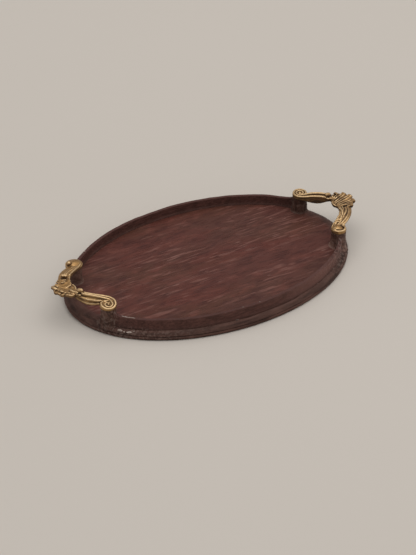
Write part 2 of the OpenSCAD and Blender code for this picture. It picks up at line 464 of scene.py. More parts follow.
def make_gallery(name, node, turn, seed, material):
    noise = Noise(seed)
    mid = GALLERY_INSET + GALLERY_THICK / 2
    start = strip_angle(mid)
    count = 420
    t = start + (math.pi - 2 * start) * np.arange(count) / (count - 1)
    a, b = HALF_X - mid, HALF_Y - mid
    centre = np.stack([a * np.cos(t), b * np.sin(t)], 1)
    normal = np.stack([np.cos(t) / a, np.sin(t) / b], 1)
    normal /= np.linalg.norm(normal, axis=1)[:, None]
    half, edge_r = GALLERY_THICK / 2, 0.14
    low, high = GALLERY_FOOT + 0.05, GALLERY_TOP
    # half of the section, from the foot up the outer side and over the top
    rise_to = high - edge_r - low
    section = [(half, low + rise_to * (i / 10) ** 1.4) for i in range(11)]
    section += [(half, high) - edge_r * (1 - direction(15 * i)) for i in range(1, 6)]
    flat = half - edge_r - 0.02
    section += [(flat * (1 - i / 2), high) for i in range(5)]
    section += [(-offset, z) for offset, z in section[15::-1]]
    rings, worn, foot = [], [], []
    s = np.arange(count) * 0.16
    turn_end = np.minimum(t - start, t[::-1] - start) * math.hypot(a, b) * 0.75
    corner = 0.95 * np.exp(-turn_end / 0.75) * (1 + 0.3 * noise(s * 0.5, 60, 2))
    for offset, z in section:
        up = (z - low) / (high - low)
        side = noise(s * 0.16, 3, 3) * 0.07 + noise(s * 0.7, 9, z) * 0.02
        fillet = 0.3
        if z > TOP - 0.1:
            fillet = math.exp(-(z - TOP) / 0.22) * (0.3 + 0.12 * noise(s * 0.35, 40, offset + 2))
        offset = offset + math.copysign(1, offset) * fillet * (abs(offset) > half - 0.01)
        rise = (noise(s * 0.22, 20, 1) * 0.055 + noise(s * 0.9, 25, 1) * 0.025 - 0.05 + corner) * up
        edge = noise(s * 1.3, 31, offset * 3 + 40) * 0.02
        place = centre + normal * (offset + side * up + edge)[:, None]
        rings.append(np.column_stack([place, z + rise]))
        worn.append(np.full(count, min(1.0, max(0.0, (up - 0.95) / 0.04))))
        # painted shade: darker towards the foot of the strip, where it meets the board
        foot.append(np.full(count, 0.75 * math.exp(-max(0.0, z - TOP) / 0.35)))
    verts = np.concatenate(rings)
    if turn:
        verts[:, :2] *= -1
    i = np.arange(count - 1)
    last = (len(rings) - 1) * count
    underside = np.stack([last + i, last + i + 1, i + 1, i], 1)
    mesh = new_mesh(name, verts, np.concatenate([ring_faces(len(rings), count, close=False), underside]))
    close_mesh(mesh, [[k * count + end for k in range(len(rings))] for end in (0, count - 1)])
    set_attributes(mesh, worn=np.concatenate(worn), foot=np.concatenate(foot), tone=painted_light_right_end(verts),
        scuff=scuffs(verts))
    return add_piece(name, mesh, material, "gallery_wood", node)


# ---- posts
def make_post(name, node, seed, material):
    low, high = box_mm(node)
    cx, cy = (low[0] + high[0]) / 2, (low[1] + high[1]) / 2
    noise = Noise(seed)
    section = [(BORE_R, POST_TOP), (POST_R - 0.32, POST_TOP)]
    for i in range(1, 7):
        c, s = direction(15 * i)
        section.append((POST_R - 0.22 + 0.2 * s, POST_TOP - 0.2 + 0.2 * c))
    for i in range(1, 12):
        z = POST_TOP - 0.2 + (TOP + 1.35 - POST_TOP + 0.2) * i / 12
        section.append((POST_R - 0.02 + 0.1 * ease(POST_TOP - 1.2, TOP + 1.3, z), z))
    foot = [("foot", i / 9) for i in range(10)]
    section += foot + [(POST_R - 0.05, TOP - 0.5), (POST_R - 0.05, low[2]), (BORE_R, low[2])]
    count = 96
    cos, sin = circle(count)
    spread = 0.55 + 0.3 * noise(cos * 1.6 + 5, sin * 1.6 + 5, 3)
    climb = 0.95 + 0.35 * noise(cos * 1.9 + 15, sin * 1.9 + 5, 8)
    rings, worn = [], []
    # how pale each post is made, at the top and at the foot
    pale_top, pale_foot = {"post_front_right": (0.3, 1.0), "post_back_left": (0.6, 0.45),
        "post_front_left": (0.45, 0.0)}.get(node, (0.0, 0.0))
    for r, z in section:
        if r == "foot":
            r = POST_R + 0.08 + spread * z ** 2
            x, y = cx + r * cos, cy + r * sin
            z = board_height(x, y) - 0.05 * z + climb * (1 - z) ** 2
        z = z + 0 * cos
        rough = (r != BORE_R) * (z > low[2] + 0.01)
        wobble = noise(cos * 2 + 9, sin * 2 + 9, z * 0.5) * 0.05 * rough
        wobble = wobble + noise(cos * 7 + 19, sin * 7 + 19, z * 2.2) * 0.025 * rough
        r = r + wobble - 0.03 * rough
        rings.append(np.stack([cx + r * cos, cy + r * sin, z], 1))
        edge = 1.0 if POST_TOP - 0.25 < z[0] < POST_TOP else 0.0
        worn.append(np.clip(edge * (0.3 + 0.7 * noise(cos * 3, sin * 3, 5)), 0, 1))
    rings.append(rings[0].copy())
    worn.append(worn[0])
    verts = np.concatenate(rings)
    mesh = new_mesh(name, verts, ring_faces(len(rings), count))
    up = ease(TOP + 0.6, POST_TOP - 0.6, verts[:, 2])
    set_attributes(mesh, worn=np.concatenate(worn), scuff=0.7 * scuffs(verts),
        tone=pale_foot + (pale_top - pale_foot) * up, foot=np.zeros(len(verts)))
    close_mesh(mesh, weld=True)
    return add_piece(name, mesh, material, "post_wood", node)


# ---- handle casting
def smooth_min(a, b, k):
    h = np.clip(0.5 + 0.5 * (b - a) / k, 0, 1)
    return b + (a - b) * h - k * h * (1 - h)


def smooth_max(a, b, k):
    return -smooth_min(-a, -b, k)


def slab(side, top, bottom, z, rounding):
    """Solid between two height fields inside a plan outline (side is its signed distance)."""
    across = side + rounding
    up = np.maximum(z - top, bottom - z) + rounding
    outside = np.hypot(np.maximum(across, 0), np.maximum(up, 0))
    return np.minimum(np.maximum(across, up), 0) + outside - rounding


def ellipsoid(x, y, z, centre, radii, bearing):
    c, s = direction(bearing)
    dx, dy, dz = x - centre[0], y - centre[1], z - centre[2]
    u, v = (dx * c + dy * s) / radii[0], (-dx * s + dy * c) / radii[1]
    w = dz / radii[2]
    k = np.sqrt(u * u + v * v + w * w)
    return (k - 1) * min(radii)


def curve(points, steps=5):
    """Smooth line through the given points (any number of columns)."""
    p = np.array(points, float)
    p = np.vstack([2 * p[0] - p[1], p, 2 * p[-1] - p[-2]])
    out = []
    for i in range(1, len(p) - 2):
        for t in np.arange(steps) / steps:
            square = 2 * p[i - 1] - 5 * p[i] + 4 * p[i + 1] - p[i + 2]
            cube = 3 * p[i] - p[i - 1] - 3 * p[i + 1] + p[i + 2]
            out.append(0.5 * (2 * p[i] + (p[i + 1] - p[i - 1]) * t + square * t * t + cube * t ** 3))
    out.append(p[-2])
    return np.array(out)


class Clay:
    """A block of signed distance, shaped further by round strokes (x, y, z, radius)."""

    def __init__(self, axes, value):
        self.axes, self.value = axes, value

    def stroke(self, points, blend=0.03, carve=False):
        points = curve(points) if len(points) > 2 else np.array(points, float)
        reach = points[:, 3].max() + 2 * blend + 0.2
        block = tuple(slice(*np.searchsorted(axis, (points[:, i].min() - reach, points[:,
            i].max() + reach))) for i, axis in enumerate(self.axes))
        x, y, z = np.meshgrid(*[axis[b] for axis, b in zip(self.axes, block)], indexing="ij", sparse=True)
        gap = 9.0
        for a, b in zip(points, points[1:]):
            d = b - a
            t = np.clip(((x - a[0]) * d[0] + (y - a[1]) * d[1] + (z - a[2]) * d[2]) / (d[:3] @ d[:3]), 0, 1)
            here = (x - a[0] - t * d[0]) ** 2 + (y - a[1] - t * d[1]) ** 2 + (z - a[2] - t * d[2]) ** 2
            gap = np.minimum(gap, np.sqrt(here) - a[3] - t * d[3])
        part = self.value[block]
        self.value[block] = smooth_max(part, -gap, blend) if carve else smooth_min(part, gap, blend)


def cubic(p, t):
    """Place on a cubic curve with the four control points p."""
    return (1 - t) ** 3 * p[0] + 3 * t * (1 - t) ** 2 * p[1] + 3 * t * t * (1 - t) * p[2] + t ** 3 * p[3]


def beside(control, t, out):
    """Place in plan beside a cubic curve; out is measured away from the tray."""
    p = np.array(control, float)
    slope = 3 * (1 - t) ** 2 * (p[1] - p[0]) + 6 * t * (1 - t) * (p[2] - p[1]) + 3 * t * t * (p[3] - p[2])
    slope /= np.hypot(*slope)
    across = np.array([-slope[1], slope[0]])
    if across @ (1.0, math.copysign(0.8, p[0][1])) < 0:
        across = -across
    return cubic(p, t) + across * out


def along(control, rows):
    """Stroke points from rows of (t, out, top, radius)."""
    return [(*beside(control, t, out), top - radius, radius) for t, out, top, radius in rows]


def round_centre(centre, rows):
    """Stroke points from rows of (bearing, distance, top, radius)."""
    return [(*(centre + d * direction(a)), top - r, r) for a, d, top, r in rows]


def nearest(control, x, y):
    """Place along a cubic curve, signed side and distance, for every (x, y) of the grid."""
    t = np.linspace(0, 1, 160)
    p = cubic(np.array(control, float), t[:, None])
    slope = np.gradient(p, axis=0)
    slope /= np.linalg.norm(slope, axis=1)[:, None]
    x, y = x[..., None], y[..., None]
    gap = (x - p[:, 0]) ** 2 + (y - p[:, 1]) ** 2
    near = gap.argmin(-1)[..., None]
    side = (x - p[near, 0]) * -slope[near, 1] + (y - p[near, 1]) * slope[near, 0]
    return t[near], side, np.sqrt(np.take_along_axis(gap, near, -1))


# the middle line of each arm, in plan, and the middle of the shell
SLIM = [(-0.9, POST_Y - 0.7), (-0.1, POST_Y - 2.3), (3.2, 5.4), (5.0, 1.8)]
BROAD = [(-0.7, 0.5 - POST_Y), (0.4, 2 - POST_Y), (4.4, -5.9), (5.2, -1.4)]
SHELL_X = 5.95
# start and tip of each finger of the shell, in plan
FINGERS = np.array([((4.55, -2.1), (6.75, -2.75)), ((4.5, -1.25), (8.1, -1.45)), ((4.45, -0.25), (8.4, 0.35)),
    ((4.55, 0.85), (7.6, 1.75)), ((4.65, 1.95), (6.1, 2.6))])


def volute(crisp):
    """Centre, size and outward lean of the slim arm's scroll, larger on the softer casting."""
    return ((0.0, POST_Y), 1.0, 0.0) if crisp else ((0.16, POST_Y + 0.25), 1.1, 0.36)


def arm_slabs(x2, y2, zz):
    """The slim and the broad arm before any carving."""
    # the slim one slopes down to its outer side, and a leaf hangs under it
    t, s, distance = nearest(SLIM, x2, y2)
    half = 0.74 * (1 + 0.12 * t)
    u = np.clip(s / half, -1.3, 1.3)
    leaf = 0.85 * np.sin(np.pi * t ** 1.5) ** 2
    foot = 0.9 * t ** 3 - leaf
    slope = ease(0.45, 1.25, u)
    top = 0.86 + 0.8 * ease(0.05, 0.95, t) + 0.26 * ease(-0.3, 0.5, u) * ease(0.1, 0.6, t)
    top = top * (1 - slope) + (foot + 0.5) * slope
    taper = half - 0.2 * np.clip((0.5 - zz) / 1.2, 0, 1) * leaf
    slim = slab(distance - taper, top, foot, zz, 0.14)

    t, s, distance = nearest(BROAD, x2, y2)
    half = 0.8 * (1 + 0.5 * t)
    u = np.clip(s / half, -1.3, 1.3)
    half = half + 0.4 * ease(0.05, 0.4, t) * ease(0.4, -0.5, u)
    top = 0.92 + 0.62 * ease(0.0, 0.9, t) - 0.12 * ease(-0.1, -1.1, u)
    broad = slab(distance - half, top, 0.9 * t, zz, 0.18)
    return slim, broad


def scroll_slabs(x, y, zz, crisp):
    """The two end scrolls before any carving."""
    centre, grow, lean = volute(crisp)
    dx, dy = x - centre[0], y - centre[1]
    top = 0.72 - lean * np.clip(dy / 1.66, 0, 1) + 0 * dx
    scroll_a = slab(np.hypot(dx, dy) - 1.66 * grow, top, 0 * dx, zz, 0.14)
    scroll_a = smooth_min(scroll_a, slab(np.hypot(x, y - POST_Y) - 1.7, top - 0.02, 0 * dx, zz, 0.14), 0.1)
    dx, dy = x, y + POST_Y
    scroll_b = slab(np.hypot(dx, dy) - 1.72 * grow, 0.72 + 0 * dx, 0 * dx, zz, 0.14)
    bulb = ((-0.36, -8.35, 0.52), (1.34, 1.34, 0.8)) if crisp else ((-0.1, -8.25, 0.42), (1.76, 1.66, 0.84))
    scroll_b = smooth_min(scroll_b, ellipsoid(x, y, zz, *bulb, 25), 0.06)
    return scroll_a, scroll_b


def shell_slab(x2, y2, zz, crisp):
    """The shell, a thin plate that reaches nearly out to the finger tips."""
    outline = np.hypot(x2 - SHELL_X, y2) - 2.3
    fingers = FINGERS[0 if crisp else 1:]
    for root, end in fingers:
        d = end - root
        t = np.clip(((x2 - root[0]) * d[0] + (y2 - root[1]) * d[1]) / (d @ d), 0, 1)
        gap = np.hypot(x2 - root[0] - t * d[0], y2 - root[1] - t * d[1])
        outline = smooth_min(outline, gap - 0.62, 0.3)
    webs = [(*((a + b) / 2 - (0.12, 0)), 0.56) for a, b in zip(fingers[:, 1], fingers[1:, 1])]
    lobes = [] if crisp else [(6.0, -2.4, 0.95), (5.85, 2.55, 0.95)]
    for cx, cy, r in lobes + webs:
        outline = smooth_min(outline, np.hypot(x2 - cx, y2 - cy) - r, 0.35)
    out = np.hypot(x2 - 3.9, y2)[..., None]
    top = 1.18 + 0.54 * ease(0.4, 4.0, out)
    return slab(outline[..., None] + 0.1, top, 0.45 + 0.14 * out, zz, 0.17)


def work_slim_arm(clay, crisp):
    """Three long ridges, two of them winding into the scroll."""
    centre, grow, lean = volute(crisp)
    ring = 1.4 * grow

    def leaning(rows):
        return [(a, r, z - lean * max(0.0, math.sin(math.radians(a))) * r / ring, w) for a, r, z, w in rows]

    coil = round_centre(centre, leaning([(-70, ring - 0.14, 0.9, 0.2), (-35, ring - 0.04, 0.98, 0.24),
        (10, ring, 1.01, 0.26), (55, ring, 1.02, 0.27), (100, ring, 1.03, 0.27),
        (150, ring + 0.04, 1.04, 0.27), (190, ring + 0.16, 1.05, 0.27)]))
    clay.stroke(coil + along(SLIM, [(0.06, -0.56, 1.08, 0.27), (0.25, -0.56, 1.24, 0.28),
        (0.5, -0.56, 1.48, 0.29), (0.75, -0.56, 1.66, 0.3), (0.97, -0.52, 1.72, 0.3)]), 0.05)
    eye = centre if crisp else (centre[0] + 0.05, centre[1] + 0.26)
    coil = round_centre(eye, leaning([(-150, 0.38, 0.95, 0.18), (-85, 0.6, 0.96, 0.21),
        (-30, 0.74, 0.98, 0.22), (30, 0.82, 1.0, 0.22), (90, 0.85, 1.0, 0.22), (150, 0.88, 1.0, 0.22),
        (205, 1.05, 1.02, 0.23)]))
    clay.stroke(coil + along(SLIM, [(0.06, 0.1, 1.05, 0.25), (0.25, 0.24, 1.34, 0.27), (0.5, 0.3, 1.8, 0.29),
        (0.75, 0.28, 2.0, 0.29), (0.95, 0.22, 1.92, 0.27)]))
    clay.stroke(along(SLIM, [(0.02, 0.52, 0.86, 0.2), (0.15, 0.62, 0.86, 0.25), (0.32, 0.64, 0.9, 0.29),
        (0.5, 0.66, 0.94, 0.31), (0.68, 0.66, 1.08, 0.31), (0.84, 0.6, 1.34, 0.29), (0.97, 0.5, 1.5, 0.24)]))
    clay.stroke(along(SLIM, [(0.08, 0.66, 0.42, 0.2), (0.2, 0.68, 0.34, 0.25), (0.36, 0.7, 0.22, 0.29),
        (0.52, 0.72, 0.06, 0.31), (0.68, 0.72, 0.12, 0.31), (0.82, 0.7, 0.52, 0.29),
        (0.94, 0.64, 1.02, 0.25)]))
    clay.stroke(along(SLIM, [(0.06, -0.24, 1.08, 0.09), (0.25, -0.18, 1.28, 0.14), (0.5, -0.14, 1.58, 0.17),
        (0.75, -0.16, 1.78, 0.17), (0.92, -0.18, 1.84, 0.1)]), carve=True)
    clay.stroke(along(SLIM, [(0.05, 0.46, 1.0, 0.09), (0.25, 0.56, 1.14, 0.14), (0.5, 0.62, 1.4, 0.18),
        (0.75, 0.6, 1.56, 0.17), (0.9, 0.56, 1.7, 0.11)]), carve=True)
    clay.stroke(along(SLIM, [(0.01, 0.58, 0.84, 0.1), (0.12, 0.84, 0.66, 0.13), (0.3, 0.95, 0.56, 0.15),
        (0.5, 0.98, 0.5, 0.2), (0.7, 0.96, 0.62, 0.2), (0.86, 0.9, 1.0, 0.13),
        (0.95, 0.8, 1.3, 0.09)]), carve=True)
    clay.stroke([(eye[0], eye[1], 0.76, 0.27), (eye[0] + 0.04, eye[1] + 0.08, 0.8, 0.25)])


def work_broad_scroll(clay, crisp):
    """A lip round its front, and the eye on its outer side."""
    knob, grow = (0.0, -POST_Y), volute(crisp)[1]
    if crisp:
        lip = 1.47
        clay.stroke(round_centre(knob, [(165, lip, 0.8, 0.2), (195, lip, 0.96, 0.24), (230, lip, 1.02, 0.26),
            (270, lip, 1.02, 0.26), (305, lip, 1.05, 0.26), (335, lip - 0.06, 1.08, 0.25)]), 0.04)
        clay.stroke(round_centre(knob, [(185, 1.16, 1.12, 0.09), (220, 1.18, 1.16, 0.12),
            (265, 1.14, 1.16, 0.13), (310, 1.0, 1.18, 0.14), (335, 0.8, 1.24, 0.12)]), 0.04, carve=True)
    clay.stroke([(1.1, -8.4, 1.02, 0.42 * grow), (1.22, -8.26, 1.2 if crisp else 1.28, 0.42 * grow)])
    clay.stroke(round_centre((1.14, -8.33), [(120, 0.52, 1.26, 0.09), (180, 0.5, 1.24, 0.1),
        (240, 0.52, 1.22, 0.1)]), carve=True)


def work_broad_arm(clay, crisp):
    """Knuckled strands and small leaves on the tray side, plainer outside."""
    def lift(place):
        return 0.64 * float(ease(0.0, 0.9, place))

    strands = [(-0.62, 0.06, 1.02, 0.22, 0), (-0.16, 0.12, 1.14, 0.24, 1), (0.3, 0.08, 1.08, 0.22, 0),
        (0.74, 0.05, 0.98, 0.24, 1), (1.14, 0.02, 0.78, 0.24, 0)]
    for lane, wander, low_top, size, phase in strands:
        rows = []
        for k in range(15 if crisp else 11):
            t = 0.02 + 0.066 * k
            swell = 1.0 if (k + phase) % 3 or lane > 0 or not crisp else 0.6
            wide = 1 + 0.35 * t
            rows.append((t, (lane + wander * math.sin(9 * t + phase * 2)) * wide,
                low_top + lift(t) - 0.14 * (1 - swell) - (0.0 if crisp or lane < -0.3 else 0.14),
                size * (0.72 + 0.28 * swell)))
        clay.stroke(along(BROAD, rows), 0.06)
    if crisp:
        for place in (0.2, 0.34):
            wide = 1 + 0.35 * place
            clay.stroke(along(BROAD, [(place - 0.02, -0.66 * wide, 1.04 + lift(place), 0.17),
                (place + 0.05, -0.3 * wide, 1.26 + lift(place), 0.22),
                (place + 0.12, 0.1 * wide, 1.26 + lift(place), 0.15)]), 0.05)
        leaves = [[(3.7, -2.75, 1.9, 0.22), (3.75, -3.7, 1.92, 0.3), (3.25, -4.7, 1.78, 0.27),
            (2.75, -5.3, 1.6, 0.16)], [(4.95, -3.1, 1.82, 0.22), (4.75, -3.9, 1.86, 0.28),
            (4.0, -4.75, 1.78, 0.27), (3.1, -5.45, 1.66, 0.18)], [(5.75, -3.4, 1.56, 0.22),
            (5.45, -4.35, 1.54, 0.26), (4.6, -5.3, 1.48, 0.26), (3.5, -6.0, 1.38, 0.18)],
            [(2.55, -5.45, 1.68, 0.3), (2.05, -6.0, 1.58, 0.34), (1.5, -6.3, 1.4, 0.22)],
            [(3.0, -3.9, 1.5, 0.18), (2.75, -4.7, 1.48, 0.22), (2.1, -5.25, 1.36, 0.18)]]
        for leaf in leaves:
            clay.stroke([(px, py, top - r, r) for px, py, top, r in leaf])
        for a, b in zip(leaves[:2], leaves[1:3]):
            groove = [(*((np.array(p) + q)[:3] / 2 + (0, 0, 0.02)), 0.1) for p, q in zip(a[:3], b[:3])]
            clay.stroke(groove, 0.02, carve=True)
    else:
        for points in ([(5.95, -3.15), (5.25, -2.8), (4.45, -2.3)],
                       [(6.55, -2.8), (5.6, -2.25), (4.75, -1.8)]):
            clay.stroke([(px, py, 1.78, 0.08) for px, py in points], carve=True)


def work_crisp_shell(clay):
    """Two ribs to a finger, a rolled tip on each, and slots between."""
    profile = [(0.0, 0.9, 1.34, 0.2), (0.3, 0.95, 1.56, 0.25), (0.65, 1.05, 1.76, 0.28),
        (1.0, 0.85, 1.94, 0.28)]
    for root, end in FINGERS:
        d = end - root
        length = np.hypot(*d)
        d = d / length
        side = np.array([-d[1], d[0]])
        for way in (-1, 1):
            gap = 0.3 * way
            rib = []
            for u, spread, top, radius in profile:
                p = root + d * length * u + side * gap * spread
                rib.append((*p, top - radius, radius))
            clay.stroke(rib)
        tip = end + d * 0.12
        clay.stroke([(*(tip - side * 0.24), 1.62, 0.42), (*(tip + side * 0.24), 1.62, 0.42)], 0.04)
        back = end - d * 0.46
        clay.stroke([(*(back - side * 0.3), 2.02, 0.15), (*(back + side * 0.4), 2.0, 0.11)], 0.02, carve=True)
        clay.stroke([(*(root + d * 0.2), 1.36, 0.12), (*(root + d * length * 0.45), 1.58, 0.17),
            (*(root + d * length * 0.8), 1.84, 0.13)], carve=True)
    for start, tip in (FINGERS[1:] + FINGERS[:-1]) / 2:
        middle = start + (tip - start) * 0.12
        clay.stroke([(*middle, 1.4, 0.12), (*(middle + (tip - middle) * 0.6), 1.76, 0.19),
            (*(tip + (tip - middle) * 0.1), 1.92, 0.22)], carve=True)
    clay.stroke([(4.4, -1.75, 1.4, 0.22), (5.2, -2.0, 1.56, 0.24), (6.05, -2.2, 1.6, 0.22)])
    clay.stroke([(4.55, -2.42, 1.5, 0.2), (5.05, -2.58, 1.54, 0.22),
        (5.6, -2.75, 1.6, 0.12)], 0.02, carve=True)


def work_soft_shell(clay):
    """A blurred shell: rolls of many sizes, and slots."""
    rolls = [[(8.45, -1.4, 2.02, 0.28), (8.38, -0.75, 2.2, 0.34), (8.1, -0.1, 2.1, 0.3)],
        [(7.8, 0.25, 1.96, 0.24), (7.6, 0.8, 2.08, 0.3), (7.3, 1.35, 2.0, 0.25)], [(7.6, -1.05, 1.98, 0.18),
        (7.45, -0.75, 2.0, 0.18)], [(7.0, 1.8, 1.92, 0.2), (6.85, 2.05, 1.92, 0.2)], [(6.35, 2.1, 1.92, 0.25),
        (6.25, 2.35, 1.92, 0.25)], [(5.75, 2.65, 1.8, 0.22), (5.55, 2.85, 1.8, 0.22)],
        [(5.2, 2.2, 1.72, 0.18), (5.1, 2.35, 1.72, 0.18)], [(7.45, -1.95, 1.86, 0.2),
        (7.3, -2.05, 1.86, 0.2)], [(6.85, -2.55, 1.84, 0.2), (6.7, -2.7, 1.84, 0.2)],
        [(6.25, -3.15, 1.8, 0.22), (6.1, -3.3, 1.8, 0.22)], [(4.9, 3.1, 1.6, 0.18), (4.8, 3.3, 1.56, 0.18)],
        [(5.2, -2.0, 1.72, 0.16), (6.0, -1.9, 1.8, 0.16)]]
    slots = [[(8.85, 0.3, 1.86, 0.14), (7.95, -0.05, 1.94, 0.15), (7.15, -0.45, 1.82, 0.08)],
        [(7.95, 1.75, 1.76, 0.14), (7.35, 1.42, 1.84, 0.14), (6.8, 1.0, 1.78, 0.08)],
        [(7.85, 0.95, 2.02, 0.08), (7.55, 0.6, 2.02, 0.1), (7.3, 0.45, 1.9, 0.07)], [(8.2, -1.9, 1.8, 0.12),
        (7.8, -1.35, 1.84, 0.13), (7.2, -1.3, 1.8, 0.07)], [(7.3, 2.3, 1.6, 0.12), (6.65, 1.85, 1.74, 0.12)],
        [(6.25, 2.8, 1.56, 0.12), (5.85, 2.25, 1.7, 0.12)], [(7.35, -2.45, 1.7, 0.1),
        (6.95, -2.15, 1.72, 0.1)], [(6.75, -3.05, 1.7, 0.1), (6.35, -2.75, 1.72, 0.1)]]
    for rows, carve in ((rolls, False), (slots, True)):
        for row in rows:
            clay.stroke([(px, py, top - r, r) for px, py, top, r in row], carve=carve)


def work_buds(clay, crisp):
    """Rolled leaf ends over dark slots, where the arms meet the shell."""
    buds = [((4.15, 2.98), 0.48, 0.2)] if crisp else [((3.95, 2.85), 0.56, 0.16), ((4.66, -3.42), 0.38, 0.34)]
    for place, size, half in buds:
        a, b = place - half * direction(-29), place + half * direction(-29)
        off = direction(61) * (0.22 + size * 0.85)
        for turn in (-1, 1):
            clay.stroke([(*(a + off * turn), 1.74, 0.28), (*(b + off * turn), 1.74, 0.26)], 0.02, carve=True)
        clay.stroke([(*a, 1.5, size * 0.8), (*b, 1.5, size * 0.8)])
        clay.stroke([(*a, 2.42 - size, size), (*b, 2.46 - size, size)])
        clay.stroke([(*(a + off * 1.6), 1.54, 0.2), (*(b + off * 1.6), 1.5, 0.2)])
        if crisp:
            clay.stroke([(*(a - off * 1.6), 1.5, 0.2), (*(b - off * 1.6), 1.46, 0.2)])
    hollows = [[(4.85, 3.4, 1.54), (5.05, 2.8, 1.54), (5.25, 2.1, 1.5)], [(4.6, 2.3, 1.46), (5.0, 2.15, 1.5),
        (5.45, 1.7, 1.54)], [(5.55, 3.35, 1.66), (5.75, 2.8, 1.72), (5.95, 2.45, 1.7)], [(4.5, 1.72, 1.88),
        (5.2, 2.05, 1.9), (5.9, 2.35, 1.84)], [(4.7, 2.34, 1.86), (5.2, 2.56, 1.8)], [(4.8, 1.32, 1.86),
        (5.45, 1.6, 1.9)]]
    for row in hollows if crisp else []:
        clay.stroke([(px, py, pz, 0.18) for px, py, pz in row], 0.02, carve=True)


def casting_field(axes, crisp):
    """Signed distance of a casting, in the scroll line's own frame; one came out crisper."""
    noise = Noise(11)
    x2, y2 = np.meshgrid(axes[0], axes[1], indexing="ij")
    x, y = x2[..., None], y2[..., None]
    zz = axes[2][None, None, :]
    slim, broad = arm_slabs(x2, y2, zz)
    scroll_a, scroll_b = scroll_slabs(x, y, zz, crisp)
    body = smooth_min(slim, scroll_a, 0.1)
    body = smooth_min(body, smooth_min(broad, scroll_b, 0.1), 0.05)
    clay = Clay(axes, smooth_min(body, shell_slab(x2, y2, zz, crisp), 0.14))
    work_slim_arm(clay, crisp)
    work_broad_scroll(clay, crisp)
    work_broad_arm(clay, crisp)
    if crisp:
        work_crisp_shell(clay)
    else:
        work_soft_shell(clay)
    # the border round the root of the shell
    clay.stroke(round_centre((SHELL_X, 0), [(a, r, 1.32, 0.22) for a, r in ((228, 2.08), (205, 2.1),
        (180, 2.1), (155, 2.1), (132, 2.08))]), 0.04)
    work_buds(clay, crisp)
    rough = noise(x * 1.7 + 40, y * 1.7 + 40, zz * 1.7 + 40) * 0.022
    rough = rough + noise(x * 4.6 + 9, y * 4.6 + 60, zz * 4.6 + 3) * 0.018
    if not crisp:
        rough = rough + noise(x * 2.9 + 5, y * 2.9 + 2, zz * 2.9 + 7) * 0.055 * ease(2.4, 4.0, x)
    return clay.value, rough


def surface_net(field, low, step):
    """Closed quad mesh of the zero level of a sampled field."""
    inside = field < 0
    shape = np.array(field.shape) - 1

    def part(array, c):
        return array[c[0]:c[0] + shape[0], c[1]:c[1] + shape[1], c[2]:c[2] + shape[2]]

    count = sum(part(inside, c).astype(np.int8) for c in CORNERS)
    mixed = (count > 0) & (count < 8)
    cells = np.argwhere(mixed)
    number = np.full(shape, -1, np.int64)
    number[mixed] = np.arange(len(cells))
    values = np.stack([part(field, c)[mixed] for c in CORNERS], 1)
    total, hits = np.zeros((len(cells), 3)), np.zeros(len(cells))
    for a in range(8):
        for b in range(a + 1, 8):
            ca, cb = np.array(CORNERS[a]), np.array(CORNERS[b])
            if np.abs(ca - cb).sum() != 1:
                continue
            cross = (values[:, a] < 0) != (values[:, b] < 0)
            t = values[cross, a] / (values[cross, a] - values[cross, b])
            total[cross] += ca + t[:, None] * (cb - ca)
            hits[cross] += 1
    verts = low + (cells + total / hits[:, None]) * step
    faces = []
    for axis in range(3):
        p, q = [k for k in range(3) if k != axis]
        edge = np.argwhere(np.diff(inside, axis=axis))
        edge = edge[(edge[:, p] > 0) & (edge[:, q] > 0) & (edge[:, p] < shape[p]) & (edge[:, q] < shape[q])]
        corner = []
        for dp, dq in ((1, 1), (0, 1), (0, 0), (1, 0)):
            cell = edge.copy()
            cell[:, p] -= dp
            cell[:, q] -= dq
            corner.append(number[tuple(cell.T)])
        quad = np.stack(corner, 1)
        flip = inside[tuple(edge.T)]
        if axis == 1:
            flip = ~flip
        quad[~flip] = quad[~flip][:, ::-1]
        faces.append(quad)
    return verts, np.concatenate(faces)


